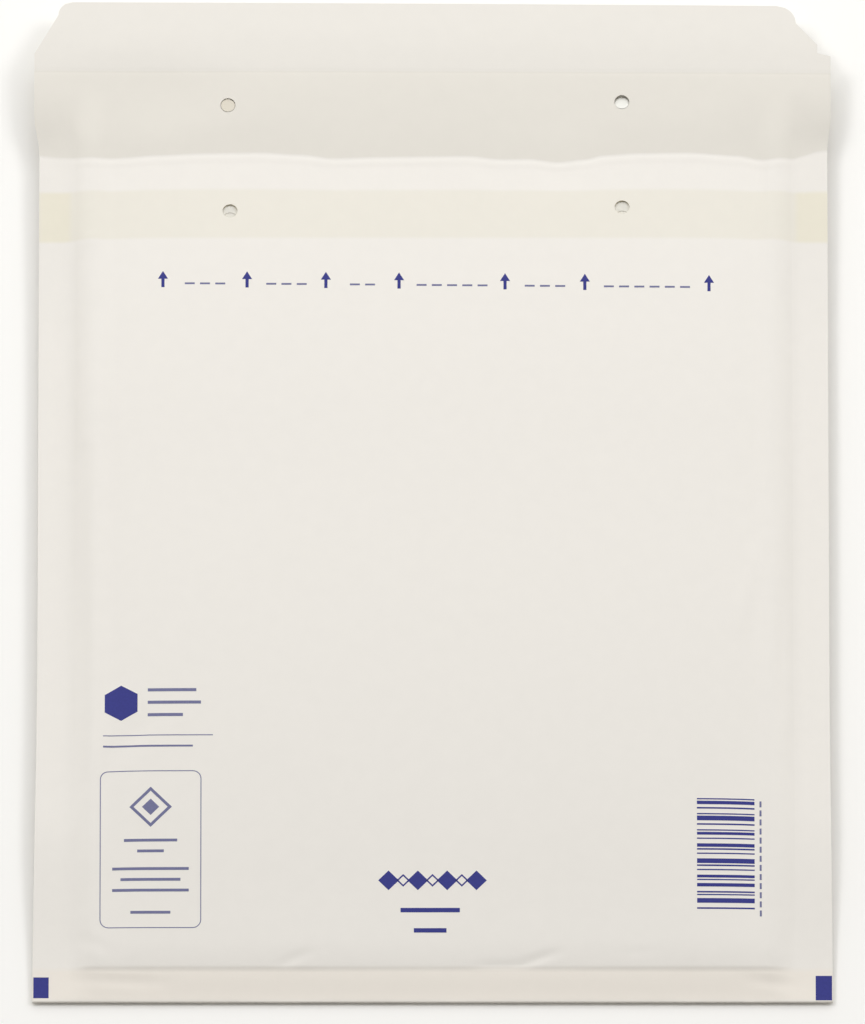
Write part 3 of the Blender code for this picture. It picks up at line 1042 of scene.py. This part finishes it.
def rectangle(bm, x0, y0, x1, y1):
    """A flat rectangle given in millimetres."""
    place = Matrix.Translation(((x0 + x1) / 2 * MM, (y0 + y1) / 2 * MM, 0.0))
    size = Matrix.Diagonal((abs(x1 - x0) * MM, abs(y1 - y0) * MM, 1.0, 1.0))
    made = bmesh.ops.create_grid(bm, x_segments=1, y_segments=1, size=0.5, matrix=place @ size)
    return made["verts"][0].link_faces[0]


def disc(bm, x, y, radius, segments):
    place = Matrix.Translation((x * MM, y * MM, 0.0))
    made = bmesh.ops.create_circle(bm, cap_ends=True, segments=segments, radius=radius * MM, matrix=place)
    return made["verts"][0].link_faces[0]


def outlined(bm, face, line):
    """Keeps only a line along the inside of a face's edge."""
    bmesh.ops.inset_individual(bm, faces=[face], thickness=line * MM, use_even_offset=True)
    bmesh.ops.delete(bm, geom=[face], context="FACES_ONLY")


def rounded(bm, face, radius):
    made = bmesh.ops.bevel(
        bm, geom=face.verts[:], affect="VERTICES", offset=radius * MM, segments=6, profile=0.5, material=-1
    )
    return made["verts"][0].link_faces[0]


# %% [markdown]
# ## Draping
#
# A flat shape can only follow the paper if it has points enough. It is cut along a fine lattice,
# thickened a little and lifted point by point to the front panel's height. A Shrinkwrap modifier
# could do this too, but the height functions are at hand and give the same result each run.

# %% Drape a flat shape
INK = 0.015 * MM
INK_LIFT = 0.03 * MM
INK_STEP = 1.6 * MM


def cut_fine(bm):
    """Cuts the shapes along a fine lattice, so that they can follow the paper."""
    for axis in (0, 1):
        low = min(vertex.co[axis] for vertex in bm.verts)
        high = max(vertex.co[axis] for vertex in bm.verts)
        across = Vector((1.0, 0.0, 0.0)) if axis == 0 else Vector((0.0, 1.0, 0.0))
        for k in range(math.ceil(low / INK_STEP), math.floor(high / INK_STEP) + 1):
            geometry = bm.verts[:] + bm.edges[:] + bm.faces[:]
            bmesh.ops.bisect_plane(bm, geom=geometry, plane_co=across * (k * INK_STEP), plane_no=across)


def draped(name, bm, material):
    cut_fine(bm)
    for face in bm.faces:
        if face.normal.z < 0:
            face.normal_flip()
    bmesh.ops.solidify(bm, geom=bm.faces[:], thickness=INK)
    for vertex in bm.verts:
        vertex.co.z += front_height(vertex.co.x, vertex.co.y) + INK_LIFT
    obj = finished(name, bm)
    obj.data.materials.append(material)
    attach(obj, "root")


def ink(name, colour):
    """Ink on paper: the paper's fibres let it vary a little."""
    material, tree, shader = new_material(name, colour, 0.6, 0.3)
    tree.links.new(mottled(tree, colour, 0.15, 1500.0, 2.0), shader.inputs["Base Color"])
    noise_bump(tree, shader, ((900.0, 2.0, 0.00001),))
    return material


navy = ink("navy_ink", (0.027, 0.031, 0.215))
grey_blue = ink("grey_blue_ink", (0.16, 0.165, 0.30))
print("inks:", navy.name, grey_blue.name)

# %% [markdown]
# ## Arrows and dashes
#
# A row of small arrows runs below the mouth, with dashes between them. An arrow is a three-sided disc
# on a thin bar. The row falls slightly to the right, because the sheet was printed askew.

# %% Arrows below the mouth
ARROWS_X = (-81.4, -56.0, -32.2, -10.1, 21.9, 46.0, 83.5)
ARROWS_Y = 70.8
ARROWS_SLOPE = -0.008

bm = bmesh.new()
for x in ARROWS_X:
    y = ARROWS_Y + ARROWS_SLOPE * x
    disc(bm, x, y + 1.2, 1.75, 3)
    rectangle(bm, x - 0.48, y - 2.5, x + 0.48, y + 0.33)
draped("opening_arrows", bm, navy)

bm = bmesh.new()
for x0, x1 in zip(ARROWS_X, ARROWS_X[1:]):
    dashes = int((x1 - x0 - 9.0) / 4.6)
    for k in range(dashes):
        x = (x0 + x1) / 2 + (k - (dashes - 1) / 2) * 4.6
        y = ARROWS_Y - 1.2 + ARROWS_SLOPE * x
        rectangle(bm, x - 1.5, y - 0.3, x + 1.5, y + 0.3)
draped("opening_dashes", bm, grey_blue)

# %% [markdown]
# ## Corner blocks
#
# Printers put solid blocks at the edge of a sheet to line it up. Two rectangles that stop just short
# of the paper's edge give the same look, and they needn't wrap round the fold.

# %% Blocks in the bottom corners
bm = bmesh.new()
rectangle(bm, -119.7, -161.2, -115.1, -154.5)
rectangle(bm, 114.9, -161.9, 119.8, -154.0)
draped("corner_blocks", bm, navy)

# %% [markdown]
# ## A tile
#
# A six-sided tile with plain lines beside it balances the corner. A disc with six segments is already
# a hexagon, so it needs no outline of its own.

# %% A plain tile with lines beside it
bm = bmesh.new()
disc(bm, -93.6, -67.8, 5.7, 6)
draped("six_sided_tile", bm, navy)

bm = bmesh.new()
for y, x1 in ((-63.7, -71.0), (-67.7, -69.6), (-71.7, -75.0)):
    rectangle(bm, -85.6, y - 0.5, x1, y + 0.5)
rectangle(bm, -99.0, -78.4, -66.0, -78.1)
rectangle(bm, -99.0, -82.0, -72.0, -81.4)
draped("tile_lines", bm, grey_blue)

# %% [markdown]
# ## A framed field
#
# The frame is a rectangle with bevelled corners whose face is inset and then deleted, which leaves a
# line of even width. A curve with a bevel would also do, but it couldn't be cut and draped as easily.

# %% A framed field with a plain sign
bm = bmesh.new()
outlined(bm, rounded(bm, rectangle(bm, -99.9, -139.6, -69.4, -89.6), 2.6), 0.28)
outlined(bm, disc(bm, -84.65, -101.2, 6.4, 4), 0.9)
disc(bm, -84.65, -101.2, 2.6, 4)
for y, half in ((-111.8, 8.0), (-115.2, 4.0), (-120.8, 11.5), (-124.2, 9.0), (-127.6, 11.5), (-134.6, 6.0)):
    rectangle(bm, -84.65 - half, y - 0.45, -84.65 + half, y + 0.45)
draped("framed_field", bm, grey_blue)

# %% [markdown]
# ## Marks in the middle
#
# Full diamonds alternate with outlined ones, over two short bars. All are discs with four segments.

# %% Marks in the middle
bm = bmesh.new()
for x in (-13.2, -4.4, 4.4, 13.2):
    disc(bm, x, -124.5, 3.1, 4)
for x in (-8.8, 0.0, 8.8):
    outlined(bm, disc(bm, x, -124.5, 2.0, 4), 0.45)
rectangle(bm, -9.6, -134.6, 8.2, -133.2)
rectangle(bm, -5.6, -141.0, 4.2, -139.6)
draped("middle_marks", bm, navy)

# %% [markdown]
# ## A ladder of bars
#
# A ladder of bars of uneven thickness, with ticks beside it. The thicknesses and gaps repeat in a
# plain cycle, which one short loop can draw.

# %% A ladder of bars
BARS = (0.4, 1.1, 0.5, 0.4, 1.5, 0.5, 0.4, 0.9)
bm = bmesh.new()
y = -98.4
k = 0
while y > -133.6:
    thick = BARS[k % len(BARS)]
    rectangle(bm, 79.4, y - thick, 96.7, y)
    y -= thick + 0.42 + 0.5 * (k % 3)
    k += 1
draped("bar_ladder", bm, navy)

bm = bmesh.new()
for k in range(13):
    rectangle(bm, 98.2, -101.0 - 2.9 * k, 98.8, -99.1 - 2.9 * k)
draped("bar_ticks", bm, grey_blue)

# %% [markdown]
# ## Camera
#
# The photograph looks almost straight down from far away: opposite sides of the envelope stay nearly
# parallel. A very long lens far off gives that look, and the tilt is the one that fits the length and
# the width of the outline at once.

# %% Place the camera
TILT = math.radians(23.8)
DISTANCE = 12.0
LENS = 1400.0
TARGET = Vector((0.0, -0.0034, 0.005))

camera_data = bpy.data.cameras.new("camera")
camera_data.lens = LENS
camera_data.sensor_width = 36.0
camera_data.clip_start = 0.1
camera_data.clip_end = 60.0
camera = bpy.data.objects.new("camera", camera_data)
camera.location = TARGET + Vector((0.0, -math.sin(TILT), math.cos(TILT))) * DISTANCE
camera.rotation_euler = (TILT, 0.0, 0.0)
bpy.context.scene.collection.objects.link(camera)
bpy.context.scene.camera = camera
print("camera at", [round(v, 2) for v in camera.location], "m, lens", LENS, "mm")

# %% [markdown]
# ## Light
#
# A wide soft lamp from the flap's side and a soft lamp at each side light the set. The side lamps
# give the broad soft shadows beside the flap and the seams. One strong lamp would be simpler, but
# its shadow would fall to one side only.

# %% Set up the lamps
KEY_POWER = 2.47
SIDE_POWER = 18.1
SIDE_PLACES = {"left_fill": (-1.64, 0.70, 2.52), "right_fill": (1.92, 0.70, 2.30)}


def soft_lamp(name, place, power, width, depth):
    data = bpy.data.lights.new(name, "AREA")
    data.shape = "RECTANGLE"
    data.size = width
    data.size_y = depth
    data.energy = power
    lamp = bpy.data.objects.new(name, data)
    lamp.location = place
    lamp.rotation_euler = (-Vector(place)).to_track_quat("-Z", "Y").to_euler()
    bpy.context.scene.collection.objects.link(lamp)
    print(name, power, "W")


soft_lamp("soft_key", (-0.05, 0.75, 0.85), KEY_POWER, 0.9, 0.5)
for name, place in SIDE_PLACES.items():
    soft_lamp(name, place, SIDE_POWER, 0.9, 0.9)

# %% [markdown]
# ## The surround
#
# A pale surround fills the shadows. It is brighter towards the flap, so faces that lean that way are
# a little lighter than faces that lean away. Seen by the camera it is plain white: a Light Path node
# tells rays that look from rays that only light. An image of a studio would need a picture file.

# %% Build the surround
SKY = 0.556
SKY_SLANT = 1.0
SKY_FRONT = (1.0, 0.985, 0.94)
SKY_BACK = (1.0, 1.0, 1.0)


def looking(tree):
    """1 for rays from the camera, straight or by a glossy or clear surface, and 0 for others."""
    path = tree.nodes.new("ShaderNodeLightPath")
    rays = path.outputs["Is Camera Ray"]
    for kind in ("Is Glossy Ray", "Is Transmission Ray"):
        either = tree.nodes.new("ShaderNodeMath")
        either.operation = "MAXIMUM"
        tree.links.new(rays, either.inputs[0])
        tree.links.new(path.outputs[kind], either.inputs[1])
        rays = either.outputs["Value"]
    return rays


world = bpy.data.worlds.new("soft_sky")
world.use_nodes = True
bpy.context.scene.world = world
sky_tree = world.node_tree
sky = sky_tree.nodes["Background"]
direction = sky_tree.nodes.new("ShaderNodeTexCoord")
split = sky_tree.nodes.new("ShaderNodeSeparateXYZ")
sky_tree.links.new(direction.outputs["Generated"], split.inputs["Vector"])
slant = sky_tree.nodes.new("ShaderNodeMapRange")
sky_tree.links.new(split.outputs["Y"], slant.inputs["Value"])
slant.inputs["From Min"].default_value = -1.0
slant.inputs["From Max"].default_value = 1.0
slant.inputs["To Min"].default_value = SKY * (1.0 - SKY_SLANT)
slant.inputs["To Max"].default_value = SKY * (1.0 + SKY_SLANT)
sky_tree.links.new(slant.outputs["Result"], sky.inputs["Strength"])
tone = sky_tree.nodes.new("ShaderNodeMapRange")
sky_tree.links.new(split.outputs["Y"], tone.inputs["Value"])
tone.inputs["From Min"].default_value = -1.0
tone.inputs["From Max"].default_value = 1.0
sky_colour = blended(sky_tree, tone.outputs["Result"], SKY_FRONT, SKY_BACK)
sky_tree.links.new(sky_colour, sky.inputs["Color"])

seen = node(sky_tree, "ShaderNodeBackground", Color=(1.0, 1.0, 1.0, 1.0), Strength=1.0)
blend = sky_tree.nodes.new("ShaderNodeMixShader")
sky_tree.links.new(looking(sky_tree), blend.inputs["Fac"])
sky_tree.links.new(sky.outputs["Background"], blend.inputs[1])
sky_tree.links.new(seen.outputs["Background"], blend.inputs[2])
sky_tree.links.new(blend.outputs["Shader"], sky_tree.nodes["World Output"].inputs["Surface"])
print(world.name, "has", len(sky_tree.nodes), "nodes")

# %% [markdown]
# ## The floor
#
# The floor is a wide sheet that keeps the envelope's soft shadow. It looks nearly white, but it sends
# a slightly darker and warmer light up to the paper, as a real surface would. The same Light Path
# helper tells those two apart, so the underside of the flap isn't too bright.

# %% Lay the floor
FLOOR_COLOUR = (0.995, 0.985, 0.962)
FLOOR_BOUNCE = (0.90, 0.875, 0.81)

bm = bmesh.new()
bmesh.ops.create_grid(bm, x_segments=1, y_segments=1, size=8.0)
floor = finished("floor", bm)
floor.location.z = -0.05 * MM
floor_material, floor_tree, floor_shader = new_material("white_floor", FLOOR_COLOUR, 0.9, 0.1)
floor_tone = blended(floor_tree, looking(floor_tree), FLOOR_BOUNCE, FLOOR_COLOUR)
floor_tree.links.new(floor_tone, floor_shader.inputs["Base Color"])
floor.data.materials.append(floor_material)
floor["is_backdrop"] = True

view = bpy.context.scene.view_settings
view.view_transform = "Standard"

# %% [markdown]
# ## The dressed box and finish
#
# The dressed envelope must stay the size of its solids, so its box is printed at the end.

# %% Write the sizes and finish
low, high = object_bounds()
print("dressed box in mm:", [round(v * 1000, 2) for v in (*low, *high)])
